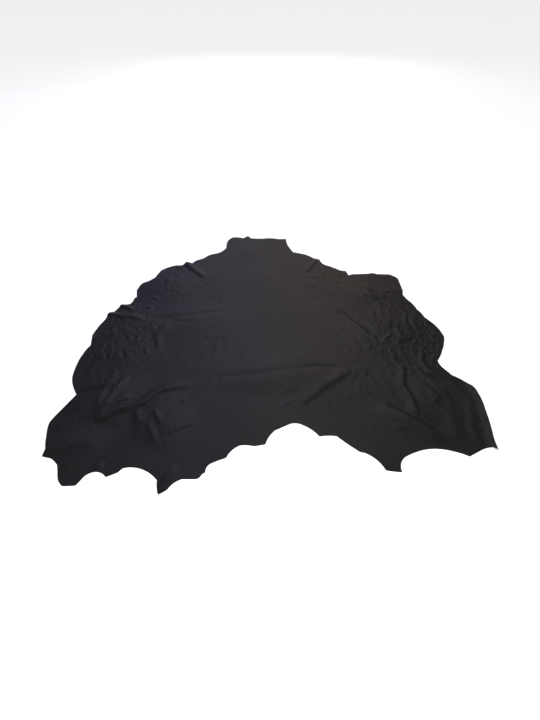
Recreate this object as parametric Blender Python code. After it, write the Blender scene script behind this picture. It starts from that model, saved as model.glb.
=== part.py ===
# A whole cattle hide of black, smooth chrome-tanned leather, lying grain side up on a flat surface.
# The neck points to +Y, the hind legs to -Y, and the flesh side rests on z = 0.
# The sheet is one piece: an outline of short arcs, and over it a height that is the sum of broad swells and of
# folds, each fold with one steep face and one soft slope. Units are metres.

import math
from collections import namedtuple

import bpy
import numpy as np
from mathutils import Vector
from mathutils.geometry import delaunay_2d_cdt

for old in list(bpy.data.objects):
    bpy.data.objects.remove(old, do_unlink=True)

# Driving dimensions
THICKNESS = 0.0014      # leather shaved to 1.4 mm
EDGE_STEP = 0.024       # longest straight run along the outline
STATION_STEP = 0.029    # distance between rows of points along a fold
FILL_STEP = 0.060       # distance between points where no fold runs
POINT_GAP = 0.011       # points stay at least this far apart
EDGE_GAP = 0.013        # points inside stay at least this far from the outline

# The outline, clockwise as seen from above. Each row is a corner, and bow is the rise of the arc that leads from
# it to the next corner: positive bulges out of the hide, negative is hollow.
Corner = namedtuple("Corner", "x y bow")

FAR_SIDE = (
    # left shoulder
    Corner(-0.860, 0.525, -0.004), Corner(-0.785, 0.595, 0.001), Corner(-0.760, 0.690, 0.008),
    Corner(-0.665, 0.760, 0.000), Corner(-0.620, 0.762, 0.000), Corner(-0.592, 0.797, -0.002),
    Corner(-0.550, 0.790, 0.002), Corner(-0.530, 0.827, 0.000), Corner(-0.475, 0.862, 0.000),
    Corner(-0.450, 0.898, 0.004), Corner(-0.387, 0.932, -0.006),
    # neck
    Corner(-0.338, 0.985, 0.001), Corner(-0.323, 1.010, 0.003), Corner(-0.320, 1.115, 0.005),
    Corner(-0.282, 1.178, 0.007), Corner(-0.205, 1.163, 0.000), Corner(-0.168, 1.200, 0.000),
    Corner(-0.143, 1.162, -0.002), Corner(-0.045, 1.158, 0.010), Corner(0.060, 1.150, 0.000),
    Corner(0.122, 1.152, -0.006), Corner(0.145, 1.015, 0.000),
    # right shoulder
    Corner(0.170, 0.948, 0.001), Corner(0.255, 0.916, 0.003), Corner(0.315, 0.860, 0.000),
    Corner(0.356, 0.845, -0.019), Corner(0.425, 0.747, 0.000), Corner(0.495, 0.690, 0.002),
    Corner(0.530, 0.680, 0.000), Corner(0.542, 0.627, 0.000),
    # right foreleg
    Corner(0.567, 0.641, 0.000), Corner(0.680, 0.648, 0.010), Corner(0.740, 0.642, 0.000),
    Corner(0.823, 0.640, 0.005),
)
RIGHT_SIDE = (
    Corner(0.874, 0.585, 0.000), Corner(0.880, 0.445, 0.000), Corner(0.872, 0.380, 0.000),
    # flank
    Corner(0.890, 0.330, 0.006), Corner(0.930, 0.220, 0.004), Corner(0.960, 0.130, 0.002),
    Corner(1.003, 0.060, 0.005), Corner(1.036, -0.065, 0.004), Corner(0.996, -0.190, 0.003),
    Corner(0.947, -0.285, -0.004),
    # hind leg
    Corner(0.958, -0.340, 0.000), Corner(0.998, -0.410, 0.007), Corner(1.070, -0.490, 0.006),
    Corner(1.094, -0.555, 0.004), Corner(1.097, -0.680, 0.003), Corner(1.081, -0.870, -0.001),
)
NEAR_SIDE = (
    # right hind leg and foot
    Corner(1.080, -0.950, 0.000), Corner(1.060, -0.928, -0.003), Corner(1.010, -0.941, 0.000),
    Corner(0.937, -0.984, -0.003), Corner(0.870, -0.953, -0.019), Corner(0.690, -0.958, -0.002),
    Corner(0.632, -0.989, -0.008), Corner(0.603, -1.058, 0.000), Corner(0.605, -1.076, 0.002),
    Corner(0.530, -1.065, -0.014), Corner(0.444, -0.960, 0.000), Corner(0.428, -0.958, 0.003),
    Corner(0.326, -0.857, -0.005),
    # arch where the tail was
    Corner(0.241, -0.859, -0.010), Corner(0.145, -0.773, -0.004), Corner(0.100, -0.775, 0.000),
    Corner(0.025, -0.819, -0.007), Corner(-0.021, -0.909, 0.000), Corner(-0.075, -0.921, -0.004),
    Corner(-0.143, -0.916, -0.010), Corner(-0.204, -0.992, -0.002), Corner(-0.277, -1.029, -0.007),
    Corner(-0.294, -1.077, -0.003), Corner(-0.316, -1.103, 0.002),
    # left hind leg, two pointed shanks and the foot
    Corner(-0.335, -1.116, 0.000), Corner(-0.396, -1.115, -0.008), Corner(-0.454, -1.172, 0.002),
    Corner(-0.492, -1.200, 0.003), Corner(-0.509, -1.122, -0.008), Corner(-0.596, -1.056, -0.006),
    Corner(-0.675, -1.053, 0.000), Corner(-0.693, -1.077, 0.001), Corner(-0.744, -1.104, -0.008),
    Corner(-0.798, -1.074, -0.010), Corner(-0.850, -1.120, 0.000), Corner(-0.867, -1.151, 0.001),
    Corner(-0.926, -1.154, 0.005), Corner(-0.961, -1.104, 0.000), Corner(-0.980, -1.038, -0.002),
    Corner(-1.022, -0.996, 0.000),
)
LEFT_SIDE = (
    Corner(-1.068, -0.984, 0.000), Corner(-1.066, -0.938, 0.002), Corner(-1.088, -0.855, 0.003),
    Corner(-1.100, -0.762, 0.002), Corner(-1.050, -0.643, 0.000), Corner(-1.019, -0.563, 0.002),
    # flank
    Corner(-1.065, -0.472, 0.004), Corner(-1.081, -0.380, 0.001), Corner(-1.079, -0.280, 0.002),
    Corner(-1.055, -0.170, 0.000), Corner(-1.044, -0.157, -0.001), Corner(-1.057, -0.057, 0.004),
    Corner(-1.023, 0.082, 0.000), Corner(-1.012, 0.130, 0.001), Corner(-1.006, 0.178, 0.002),
    Corner(-0.983, 0.184, 0.000), Corner(-0.957, 0.243, 0.003), Corner(-0.940, 0.267, 0.001),
    Corner(-0.897, 0.273, -0.004), Corner(-0.881, 0.345, 0.000), Corner(-0.869, 0.361, 0.000),
    Corner(-0.883, 0.435, 0.004),
)
OUTLINE = FAR_SIDE + RIGHT_SIDE + NEAR_SIDE + LEFT_SIDE

# Broad swells, where the hide stands a little off the floor: an ellipse's middle, its half length and half width,
# how far its length is turned from +X, and its height.
Swell = namedtuple("Swell", "place x y length width turn height")

SWELLS = (
    Swell("left flank", -0.860, -0.060, 0.340, 0.280, 90, 0.011),
    Swell("left side of the back", -0.540, 0.100, 0.430, 0.220, 8, 0.012),
    Swell("left haunch", -0.840, -0.590, 0.270, 0.230, 30, 0.014),
    Swell("left hind leg", -0.930, -0.930, 0.210, 0.170, 30, 0.014),
    Swell("left of the rump", -0.530, -0.750, 0.260, 0.190, 110, 0.013),
    Swell("right side of the back", 0.545, 0.040, 0.360, 0.220, -55, 0.008),
    Swell("loin", 0.040, -0.390, 0.520, 0.210, 5, 0.011),
    Swell("right of the rump", 0.690, -0.760, 0.250, 0.140, -38, 0.014),
    Swell("right haunch", 0.850, -0.540, 0.260, 0.180, 100, 0.012),
    Swell("right flank", 0.780, 0.010, 0.330, 0.210, 95, 0.008),
    Swell("right shoulder", 0.620, 0.420, 0.280, 0.180, -20, 0.007),
    Swell("left shoulder", -0.640, 0.520, 0.260, 0.190, 40, 0.009),
    Swell("withers", -0.060, 0.560, 0.300, 0.200, 95, 0.006),
    Swell("neck", -0.150, 0.980, 0.170, 0.120, 70, 0.006),
)

# Folds. The line follows the steep face, soft is the width of the slope to the left of the line's direction, and
# steep is the width of the face. A positive height is a ridge, a negative one a groove in a swell. The fold comes
# up over the length rise from the line's start and dies away over the length fall to its end.
Fold = namedtuple("Fold", "place height soft steep rise fall line")

FOLDS = (
    # left hind leg
    Fold("haunch, long S", 0.0090, 0.046, 0.026, 0.030, 0.240, (
        (-0.822, -0.775), (-0.802, -0.722), (-0.757, -0.690), (-0.700, -0.668), (-0.652, -0.640),
        (-0.620, -0.600), (-0.588, -0.558), (-0.540, -0.528), (-0.450, -0.507), (-0.340, -0.500))),
    Fold("haunch, middle", 0.0055, 0.034, 0.020, 0.050, 0.060, (
        (-0.832, -0.765), (-0.844, -0.712), (-0.834, -0.668), (-0.805, -0.636), (-0.760, -0.605),
        (-0.712, -0.556))),
    Fold("haunch, outer", 0.0075, 0.034, 0.018, 0.060, 0.070, (
        (-0.772, -0.410), (-0.790, -0.440), (-0.812, -0.495), (-0.832, -0.560), (-0.850, -0.625),
        (-0.858, -0.690))),
    Fold("haunch, edge", 0.0055, 0.040, 0.024, 0.060, 0.080, (
        (-0.855, -0.385), (-0.872, -0.440), (-0.893, -0.510), (-0.900, -0.580), (-0.890, -0.650),
        (-0.884, -0.720))),
    Fold("from the side notch", -0.0085, 0.055, 0.028, 0.080, 0.020, (
        (-0.830, -0.480), (-0.874, -0.497), (-0.946, -0.523), (-1.060, -0.565))),
    Fold("shank, across", -0.0110, 0.055, 0.030, 0.140, 0.010, (
        (-0.840, -0.905), (-0.900, -0.918), (-0.960, -0.940), (-1.025, -0.975), (-1.080, -1.000))),
    Fold("shank, upper", 0.0045, 0.040, 0.026, 0.030, 0.040, (
        (-1.060, -0.812), (-1.010, -0.786), (-0.940, -0.745))),
    Fold("foot", 0.0055, 0.035, 0.018, 0.030, 0.020, (
        (-0.785, -1.005), (-0.800, -1.035), (-0.812, -1.065))),
    Fold("pointed shank", 0.0050, 0.035, 0.022, 0.020, 0.060, (
        (-0.478, -1.190), (-0.443, -1.105), (-0.420, -1.030))),
    Fold("rump, outer", 0.0070, 0.048, 0.018, 0.030, 0.040, (
        (-0.700, -0.680), (-0.685, -0.712), (-0.670, -0.760), (-0.636, -0.792))),
    Fold("rump, long", 0.0048, 0.030, 0.016, 0.030, 0.040, (
        (-0.602, -0.680), (-0.590, -0.706), (-0.567, -0.750), (-0.545, -0.800))),
    Fold("rump, second", 0.0052, 0.036, 0.016, 0.030, 0.070, (
        (-0.622, -0.770), (-0.604, -0.810), (-0.584, -0.850), (-0.566, -0.890), (-0.525, -0.935))),
    Fold("rump, forked", 0.0035, 0.026, 0.016, 0.030, 0.030, (
        (-0.625, -0.775), (-0.652, -0.815), (-0.665, -0.865))),
    Fold("rump, upper", -0.0055, 0.030, 0.018, 0.040, 0.040, (
        (-0.440, -0.600), (-0.500, -0.650), (-0.540, -0.698), (-0.562, -0.740))),
    Fold("rump, hooked", -0.0045, 0.030, 0.018, 0.040, 0.030, (
        (-0.375, -0.772), (-0.420, -0.803), (-0.460, -0.832), (-0.492, -0.852), (-0.502, -0.885))),
    # left flank and back
    Fold("flank, long ridge", 0.0110, 0.045, 0.028, 0.010, 0.050, (
        (-1.020, 0.145), (-0.950, 0.130), (-0.885, 0.115), (-0.830, 0.097), (-0.770, 0.068))),
    Fold("flank, long groove", -0.0055, 0.040, 0.020, 0.140, 0.080, (
        (-0.225, 0.228), (-0.380, 0.190), (-0.460, 0.165), (-0.550, 0.153), (-0.620, 0.137),
        (-0.700, 0.130), (-0.800, 0.132))),
    Fold("flank, under the groove", -0.0030, 0.026, 0.016, 0.060, 0.040, (
        (-0.440, 0.080), (-0.560, 0.086), (-0.625, 0.102))),
    Fold("flank, at the edge", 0.0080, 0.030, 0.022, 0.010, 0.050, (
        (-0.985, 0.262), (-0.930, 0.236), (-0.890, 0.213), (-0.848, 0.194))),
    Fold("flank, inner", 0.0050, 0.026, 0.016, 0.030, 0.030, (
        (-0.800, 0.240), (-0.760, 0.226), (-0.735, 0.218))),
    Fold("back, left", 0.0070, 0.040, 0.018, 0.050, 0.070, (
        (-0.620, 0.070), (-0.645, 0.020), (-0.668, -0.020), (-0.680, -0.055), (-0.668, -0.120),
        (-0.656, -0.165), (-0.644, -0.205))),
    Fold("flank, dimple", 0.0055, 0.030, 0.016, 0.040, 0.040, (
        (-0.975, -0.200), (-0.968, -0.240), (-0.962, -0.275), (-0.952, -0.310))),
    Fold("flank, streak", 0.0050, 0.024, 0.014, 0.030, 0.030, (
        (-0.825, -0.190), (-0.820, -0.240), (-0.812, -0.285))),
    # left shoulder
    Fold("shoulder, long", 0.0090, 0.050, 0.028, 0.010, 0.070, (
        (-0.612, 0.805), (-0.588, 0.750), (-0.552, 0.705), (-0.520, 0.658), (-0.478, 0.612),
        (-0.440, 0.560))),
    Fold("shoulder, short", 0.0060, 0.034, 0.016, 0.030, 0.030, (
        (-0.708, 0.580), (-0.694, 0.545), (-0.678, 0.508))),
    # loin and right of the rump
    Fold("loin, hook", -0.0060, 0.060, 0.028, 0.040, 0.100, (
        (0.392, -0.362), (0.362, -0.340), (0.315, -0.325), (0.260, -0.323), (0.200, -0.333),
        (0.120, -0.350))),
    Fold("loin, knuckle", 0.0025, 0.040, 0.022, 0.040, 0.030, (
        (0.378, -0.480), (0.389, -0.430), (0.390, -0.390), (0.382, -0.345))),
    Fold("loin, long", -0.0032, 0.060, 0.022, 0.100, 0.120, (
        (0.170, -0.343), (0.090, -0.357), (0.010, -0.368), (-0.080, -0.386), (-0.200, -0.404),
        (-0.270, -0.412), (-0.300, -0.440), (-0.315, -0.500), (-0.335, -0.570))),
    Fold("loin, wide", 0.0058, 0.070, 0.034, 0.140, 0.050, (
        (0.105, -0.685), (0.160, -0.645), (0.210, -0.605), (0.250, -0.565), (0.300, -0.515),
        (0.345, -0.475), (0.392, -0.440), (0.435, -0.405), (0.464, -0.365))),
    Fold("rump, slanting", 0.0100, 0.085, 0.034, 0.080, 0.110, (
        (0.855, -0.880), (0.833, -0.860), (0.795, -0.815), (0.750, -0.777), (0.713, -0.744),
        (0.683, -0.712), (0.653, -0.689), (0.612, -0.665), (0.565, -0.640))),
    # right hind leg
    Fold("haunch, sharp", 0.0095, 0.042, 0.018, 0.030, 0.060, (
        (0.758, -0.720), (0.752, -0.655), (0.744, -0.580), (0.733, -0.536), (0.723, -0.500),
        (0.724, -0.462), (0.734, -0.430), (0.744, -0.387), (0.754, -0.310))),
    Fold("haunch, deep", 0.0085, 0.042, 0.050, 0.040, 0.110, (
        (0.968, -0.690), (0.962, -0.640), (0.950, -0.595), (0.941, -0.545), (0.927, -0.500),
        (0.903, -0.455), (0.862, -0.415))),
    Fold("haunch, hook", 0.0040, 0.030, 0.022, 0.040, 0.040, (
        (0.836, -0.655), (0.867, -0.622), (0.888, -0.598), (0.882, -0.575), (0.860, -0.552),
        (0.832, -0.535))),
    Fold("haunch, upper", 0.0070, 0.034, 0.020, 0.040, 0.040, (
        (0.960, -0.434), (0.928, -0.410), (0.898, -0.372), (0.875, -0.335), (0.866, -0.295),
        (0.876, -0.250), (0.895, -0.205))),
    Fold("leg, inner", 0.0050, 0.060, 0.060, 0.060, 0.060, (
        (0.935, -0.900), (0.940, -0.780), (0.960, -0.660))),
    Fold("leg, down its side", 0.0030, 0.040, 0.030, 0.060, 0.060, (
        (1.010, -0.900), (1.025, -0.780), (1.045, -0.650), (1.060, -0.560))),
    Fold("leg, raised edge", 0.0120, 0.060, 0.020, 0.040, 0.060, (
        (1.085, -1.010), (1.105, -0.850), (1.120, -0.680), (1.115, -0.540), (1.075, -0.440))),
    # right flank and shoulder
    Fold("flank, slanting", -0.0065, 0.050, 0.018, 0.120, 0.050, (
        (0.420, 0.212), (0.465, 0.165), (0.500, 0.110), (0.530, 0.070), (0.560, 0.030), (0.590, -0.022),
        (0.620, -0.080), (0.650, -0.122))),
    Fold("back, right", 0.0045, 0.060, 0.018, 0.050, 0.060, (
        (0.448, 0.165), (0.416, 0.206), (0.377, 0.250), (0.320, 0.284), (0.270, 0.296))),
    Fold("shoulder, upper", 0.0065, 0.034, 0.018, 0.050, 0.040, (
        (0.880, 0.302), (0.840, 0.310), (0.785, 0.336), (0.722, 0.363), (0.683, 0.398), (0.640, 0.455))),
    Fold("foreleg, first", 0.0045, 0.028, 0.016, 0.030, 0.020, (
        (0.690, 0.404), (0.745, 0.398), (0.800, 0.405), (0.900, 0.422))),
    Fold("foreleg, middle", 0.0040, 0.022, 0.014, 0.030, 0.030, (
        (0.775, 0.376), (0.820, 0.366), (0.880, 0.362))),
    Fold("shoulder, slanting", 0.0060, 0.034, 0.017, 0.030, 0.040, (
        (0.732, 0.274), (0.692, 0.316), (0.655, 0.350), (0.614, 0.382))),
    Fold("shoulder, far", 0.0050, 0.034, 0.020, 0.040, 0.010, (
        (0.252, 0.640), (0.285, 0.710), (0.335, 0.815))),
)

ACROSS = (-0.5, 0.5)          # foot and crest of a fold, in widths of its steep face from the line
DOWN_SLOPE = (0.45, 1.0)      # points on a fold's soft slope, in widths of that slope from the crest
CURVE_STEPS = 8               # straight runs between two points of a fold's line


def arc(start, end, bow, steps):
    """Points from start up to, but not with, end, on the arc that rises by bow to the left of the way there."""
    start = np.array(start)
    chord = np.array(end) - start
    left = np.array((-chord[1], chord[0])) / math.hypot(*chord)
    t = np.arange(steps)[:, None] / steps
    return start + chord * t + left * bow * 4.0 * t * (1.0 - t)


def outline_points():
    """The whole outline as straight runs no longer than EDGE_STEP."""
    runs = []
    for corner, following in zip(OUTLINE, OUTLINE[1:] + OUTLINE[:1]):
        reach = math.hypot(following.x - corner.x, following.y - corner.y)
        steps = max(1, math.ceil(reach / EDGE_STEP))
        runs.append(arc((corner.x, corner.y), (following.x, following.y), corner.bow, steps))
    return np.concatenate(runs)


def smooth_line(line):
    """A smooth curve through a fold's points, as Catmull-Rom pieces."""
    points = np.array(line)
    points = np.vstack((2 * points[0] - points[1], points, 2 * points[-1] - points[-2]))
    t = np.arange(CURVE_STEPS)[:, None] / CURVE_STEPS
    pieces = []
    for a, b, c, d in zip(points, points[1:], points[2:], points[3:]):
        pieces.append(0.5 * (2 * b + (c - a) * t + (2 * a - 5 * b + 4 * c - d) * t**2
                             + (3 * b - a - 3 * c + d) * t**3))
    pieces.append(points[-2:-1])
    return np.concatenate(pieces)


def ease(t):
    """0 below 0, 1 above 1, and a soft S between them."""
    t = np.clip(t, 0.0, 1.0)
    return t * t * (3.0 - 2.0 * t)


def along_and_across(places, curve):
    """For each place, its share of the way along the curve and its distance to the curve's left."""
    starts = curve[:-1]
    steps = curve[1:] - starts
    lengths = np.hypot(steps[:, 0], steps[:, 1])
    travelled = np.concatenate(((0.0,), np.cumsum(lengths)))
    offset = places[:, None, :] - starts[None, :, :]
    share = np.clip((offset * steps).sum(axis=2) / lengths**2, 0.0, 1.0)
    away = offset - share[..., None] * steps
    distance = np.hypot(away[..., 0], away[..., 1])
    nearest = distance.argmin(axis=1)
    row = np.arange(len(places))
    side = steps[nearest, 0] * offset[row, nearest, 1] - steps[nearest, 1] * offset[row, nearest, 0]
    along = (travelled[nearest] + share[row, nearest] * lengths[nearest]) / travelled[-1]
    return along, np.where(side < 0.0, -1.0, 1.0) * distance[row, nearest]


def fold_height(places, fold, curve):
    """Up the steep face, which is centred on the line, and down the soft slope, coming up and dying away along
    the line."""
    along, across = along_and_across(places, curve)
    face = ease(across / fold.steep + 0.5)
    slope = 1.0 - ease((across - 0.5 * fold.steep) / fold.soft)
    length = np.hypot(*np.diff(curve, axis=0).T).sum()
    ends = ease(along * length / fold.rise) * ease((1.0 - along) * length / fold.fall)
    return fold.height * face * slope * ends


def swell_height(places, swell):
    """A dome over an ellipse: its height times the square of one minus the squared share of the way out."""
    turn = math.radians(swell.turn)
    x = places[:, 0] - swell.x
    y = places[:, 1] - swell.y
    out_along = (x * math.cos(turn) + y * math.sin(turn)) / swell.length
    out_across = (y * math.cos(turn) - x * math.sin(turn)) / swell.width
    return swell.height * np.clip(1.0 - out_along**2 - out_across**2, 0.0, None) ** 2


CURVES = {fold.place: smooth_line(fold.line) for fold in FOLDS}


def height_at(places):
    """Height of the flesh side over the floor: 0 where the hide lies flat."""
    height = np.zeros(len(places))
    for swell in SWELLS:
        height += swell_height(places, swell)
    for fold in FOLDS:
        height += fold_height(places, fold, CURVES[fold.place])
    return np.clip(height, 0.0, None)


def fold_lattice(fold):
    """Rows of points across a fold: its crest and its foot first, then its soft slope."""
    curve = CURVES[fold.place]
    steps = np.diff(curve, axis=0)
    travelled = np.concatenate(((0.0,), np.cumsum(np.hypot(steps[:, 0], steps[:, 1]))))
    rows = max(3, round(travelled[-1] / STATION_STEP))
    stations = np.linspace(0.0, travelled[-1], rows + 1)
    middle = np.column_stack([np.interp(stations, travelled, curve[:, axis]) for axis in (0, 1)])
    heading = np.gradient(middle, axis=0)
    heading /= np.hypot(heading[:, 0], heading[:, 1])[:, None]
    left = np.column_stack((-heading[:, 1], heading[:, 0]))
    offsets = [fold.steep * share for share in ACROSS]
    offsets += [0.5 * fold.steep + fold.soft * share for share in DOWN_SLOPE]
    return [middle + left * offset for offset in offsets]


def fill_lattice():
    """An even triangular pattern of points over the whole hide."""
    half = 1.25
    rows = np.arange(-half, half, FILL_STEP * math.sqrt(0.75))
    columns = np.arange(-half, half, FILL_STEP)
    x, y = np.meshgrid(columns, rows)
    x = x + 0.5 * FILL_STEP * (np.arange(len(rows)) % 2)[:, None]
    return np.column_stack((x.ravel(), y.ravel()))


def inside(places, border):
    """True for places inside the border and at least EDGE_GAP away from it."""
    following = np.roll(border, -1, axis=0)
    x, y = places[:, :1], places[:, 1:]
    crosses = (border[:, 1] > y) != (following[:, 1] > y)
    rise = np.where(following[:, 1] == border[:, 1], 1.0, following[:, 1] - border[:, 1])
    at = border[:, 0] + (y - border[:, 1]) * (following[:, 0] - border[:, 0]) / rise
    within = (crosses & (x < at)).sum(axis=1) % 2 == 1
    closed = np.vstack((border, border[:1]))
    _, across = along_and_across(places, closed)
    return within & (np.abs(across) > EDGE_GAP)


def mesh_points(border):
    """The outline's points, then the folds', then the fill, each point left out where one is near already."""
    layers = [fold_lattice(fold) for fold in FOLDS]
    candidates = [layer[kind] for kind in range(len(ACROSS) + len(DOWN_SLOPE)) for layer in layers]
    candidates = np.concatenate(candidates)
    candidates = candidates[inside(candidates, border)]
    kept = list(border)
    for place in candidates:
        if np.hypot(*(np.array(kept) - place).T).min() > POINT_GAP:
            kept.append(place)
    fill = fill_lattice()
    for place in fill[inside(fill, border)]:
        if np.hypot(*(np.array(kept) - place).T).min() > 0.5 * FILL_STEP:
            kept.append(place)
    return np.array(kept)


def hide_leather():
    """Black grain leather with a low, soft gloss."""
    leather = bpy.data.materials.new("black_grain_leather")
    leather.use_nodes = True
    surface = leather.node_tree.nodes["Principled BSDF"]
    surface.inputs["Base Color"].default_value = (0.020, 0.020, 0.022, 1.0)
    surface.inputs["Roughness"].default_value = 0.48
    surface.inputs["Metallic"].default_value = 0.0
    return leather


def make_hide():
    """The flesh side as triangles between the points, thickened upwards to the leather's grain side."""
    border = outline_points()
    places = mesh_points(border)
    ring = [list(range(len(border)))]
    corners, _, faces, _, _, _ = delaunay_2d_cdt([Vector(place) for place in places], [], ring, 1, 1e-7)
    flat = np.array(corners)
    height = height_at(flat)
    mesh = bpy.data.meshes.new("hide")
    mesh.from_pydata(np.column_stack((flat, height)).tolist(), [], faces)
    mesh.validate()
    mesh.shade_smooth()
    mesh.materials.append(hide_leather())
    hide = bpy.data.objects.new("hide", mesh)
    bpy.context.scene.collection.objects.link(hide)
    skin = hide.modifiers.new("leather thickness", "SOLIDIFY")
    skin.thickness = THICKNESS
    skin.offset = 1.0
    skin.use_rim = True


make_hide()
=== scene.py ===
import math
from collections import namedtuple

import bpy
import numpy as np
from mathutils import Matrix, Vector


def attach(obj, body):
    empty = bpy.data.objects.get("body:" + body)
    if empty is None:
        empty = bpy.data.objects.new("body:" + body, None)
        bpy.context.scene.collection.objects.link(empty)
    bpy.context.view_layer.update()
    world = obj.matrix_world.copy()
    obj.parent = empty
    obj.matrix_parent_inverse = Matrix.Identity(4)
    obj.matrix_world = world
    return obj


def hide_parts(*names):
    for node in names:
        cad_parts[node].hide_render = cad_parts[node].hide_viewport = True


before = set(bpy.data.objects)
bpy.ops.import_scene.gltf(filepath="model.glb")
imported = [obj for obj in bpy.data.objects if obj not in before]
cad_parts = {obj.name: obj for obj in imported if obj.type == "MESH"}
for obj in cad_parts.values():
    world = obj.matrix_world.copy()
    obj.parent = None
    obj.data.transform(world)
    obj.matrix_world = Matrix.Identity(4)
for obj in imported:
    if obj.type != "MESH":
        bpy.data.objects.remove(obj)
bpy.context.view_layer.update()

# A whole cattle hide of black, smooth chrome-tanned leather, lying loose and grain side up on a pale
# floor. The sheet is one surface of two parameters, across and along the hide. Its outline and its swells
# are the tables of the part's source. Its folds are too, apart from eleven with other numbers and four
# that lie beside them. Finer creases that the solid leaves out are added. Units are metres.

THICKNESS = 0.0014      # leather shaved to 1.4 mm
STEPS_ACROSS = 250      # cells of the sheet from its left to its right side
STEPS_ALONG = 178       # cells of the sheet from its near to its far side
SEED = 41               # for the small unevenness that no table holds
CURVE_STEPS = 8         # straight runs between two points of a fold's line
SHARP_ANGLE = 60.0      # degrees past which an edge is shaded sharp, as at the cut

# How the grid is spread out under the outline.
RELAX_ROUNDS = 6        # rounds of smoothing and even spacing
SWEEPS = 60             # smoothing sweeps in a round
LAST_SWEEPS = 3         # smoothing sweeps after the last round
FIRST_LINE_REACH = 0.8  # how far the line beside the outline keeps following it round a corner

# How crowded grain looks, in metres and degrees.
PATCH_LENGTHS = (0.30, 0.12)      # longest and shortest wave of its patches
PATCH_WAVES = 10
PATCH_CONTRAST = 1.6
PATCH_FLOOR = 0.4                 # how crowded it stays between the patches
BEND = 0.012                      # how far the wrinkles wander
BEND_LENGTHS = (0.24, 0.10)
BEND_WAVES = 8
WRINKLE_LENGTHS = (0.075, 0.036)
WRINKLE_WAVES = 14
WRINKLE_SPREAD = 32.0             # how far wrinkles turn from their crowd's angle
VALLEY_WIDTH = 0.42               # how far from zero the waves still make a valley
BUMP_SHARE = 0.55                 # the bumps between the valleys, as a share of a crowd's height
ROLL_SHARE = 0.30                 # the same for the waves themselves

# Scales of the leather's patterns, in metres.
PORE = 0.0016           # hair pores, about 0.3 mm apart on the real one, drawn coarser so that they show
PORE_DEPTH = 0.0001
PEBBLE = 0.0060         # softened grain, 2 to 3 mm across on the real one, drawn at 6 mm so that it shows
PEBBLE_DEPTH = 0.0008
BREAK = 0.024           # soft wrinkles of a loose grain
BREAK_DEPTH = 0.012
CLOUD = 0.35            # patches where the finish took a little lighter or darker
NAP = 0.004             # suede nap, under 1 mm on the real one, drawn coarser so that it shows
NAP_DEPTH = 0.0004
FIBRES = (90.0, 90.0, 1600.0)     # bundles to a metre: 11 mm long, 0.6 mm thick, coarser so that they show
FIBRE_DEPTH = 0.0003

FLOOR_HALF = 40.0                 # half the floor's side
OVERHEAD_STRENGTH = 3.0
OVERHEAD_SPREAD = 70.0            # degrees of sky that the overhead light fills
OVERHEAD_TILT = (-12.0, -8.0)     # degrees about X and Y
ROOM_LIGHT = 0.08                 # strength of the room's light on things
ROOM_SEEN = 1.1                   # its strength where the camera sees it, so that it is white
LENS = 28.0
FILM_WIDTH = 36.0
CAMERA_PLACE = (0.0006, -2.7035, 2.0345)
CAMERA_TURN = 50.0                # degrees up from looking straight down

# The outline, clockwise as seen from above. Each row is a corner, and bow is the rise of the arc that
# leads from it to the next corner: positive bulges out of the hide, negative is hollow.
Corner = namedtuple("Corner", "x y bow")

FAR_SIDE = (
    # left shoulder
    Corner(-0.860, 0.525, -0.004), Corner(-0.785, 0.595, 0.001), Corner(-0.760, 0.690, 0.008),
    Corner(-0.665, 0.760, 0.000), Corner(-0.620, 0.762, 0.000), Corner(-0.592, 0.797, -0.002),
    Corner(-0.550, 0.790, 0.002), Corner(-0.530, 0.827, 0.000), Corner(-0.475, 0.862, 0.000),
    Corner(-0.450, 0.898, 0.004), Corner(-0.387, 0.932, -0.006),
    # neck
    Corner(-0.338, 0.985, 0.001), Corner(-0.323, 1.010, 0.003), Corner(-0.320, 1.115, 0.005),
    Corner(-0.282, 1.178, 0.007), Corner(-0.205, 1.163, 0.000), Corner(-0.168, 1.200, 0.000),
    Corner(-0.143, 1.162, -0.002), Corner(-0.045, 1.158, 0.010), Corner(0.060, 1.150, 0.000),
    Corner(0.122, 1.152, -0.006), Corner(0.145, 1.015, 0.000),
    # right shoulder
    Corner(0.170, 0.948, 0.001), Corner(0.255, 0.916, 0.003), Corner(0.315, 0.860, 0.000),
    Corner(0.356, 0.845, -0.019), Corner(0.425, 0.747, 0.000), Corner(0.495, 0.690, 0.002),
    Corner(0.530, 0.680, 0.000), Corner(0.542, 0.627, 0.000),
    # right foreleg
    Corner(0.567, 0.641, 0.000), Corner(0.680, 0.648, 0.010), Corner(0.740, 0.642, 0.000),
    Corner(0.823, 0.640, 0.005),
)
RIGHT_SIDE = (
    Corner(0.874, 0.585, 0.000), Corner(0.880, 0.445, 0.000), Corner(0.872, 0.380, 0.000),
    # flank
    Corner(0.890, 0.330, 0.006), Corner(0.930, 0.220, 0.004), Corner(0.960, 0.130, 0.002),
    Corner(1.003, 0.060, 0.005), Corner(1.036, -0.065, 0.004), Corner(0.996, -0.190, 0.003),
    Corner(0.947, -0.285, -0.004),
    # hind leg
    Corner(0.958, -0.340, 0.000), Corner(0.998, -0.410, 0.007), Corner(1.070, -0.490, 0.006),
    Corner(1.094, -0.555, 0.004), Corner(1.097, -0.680, 0.003), Corner(1.081, -0.870, -0.001),
)
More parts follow.
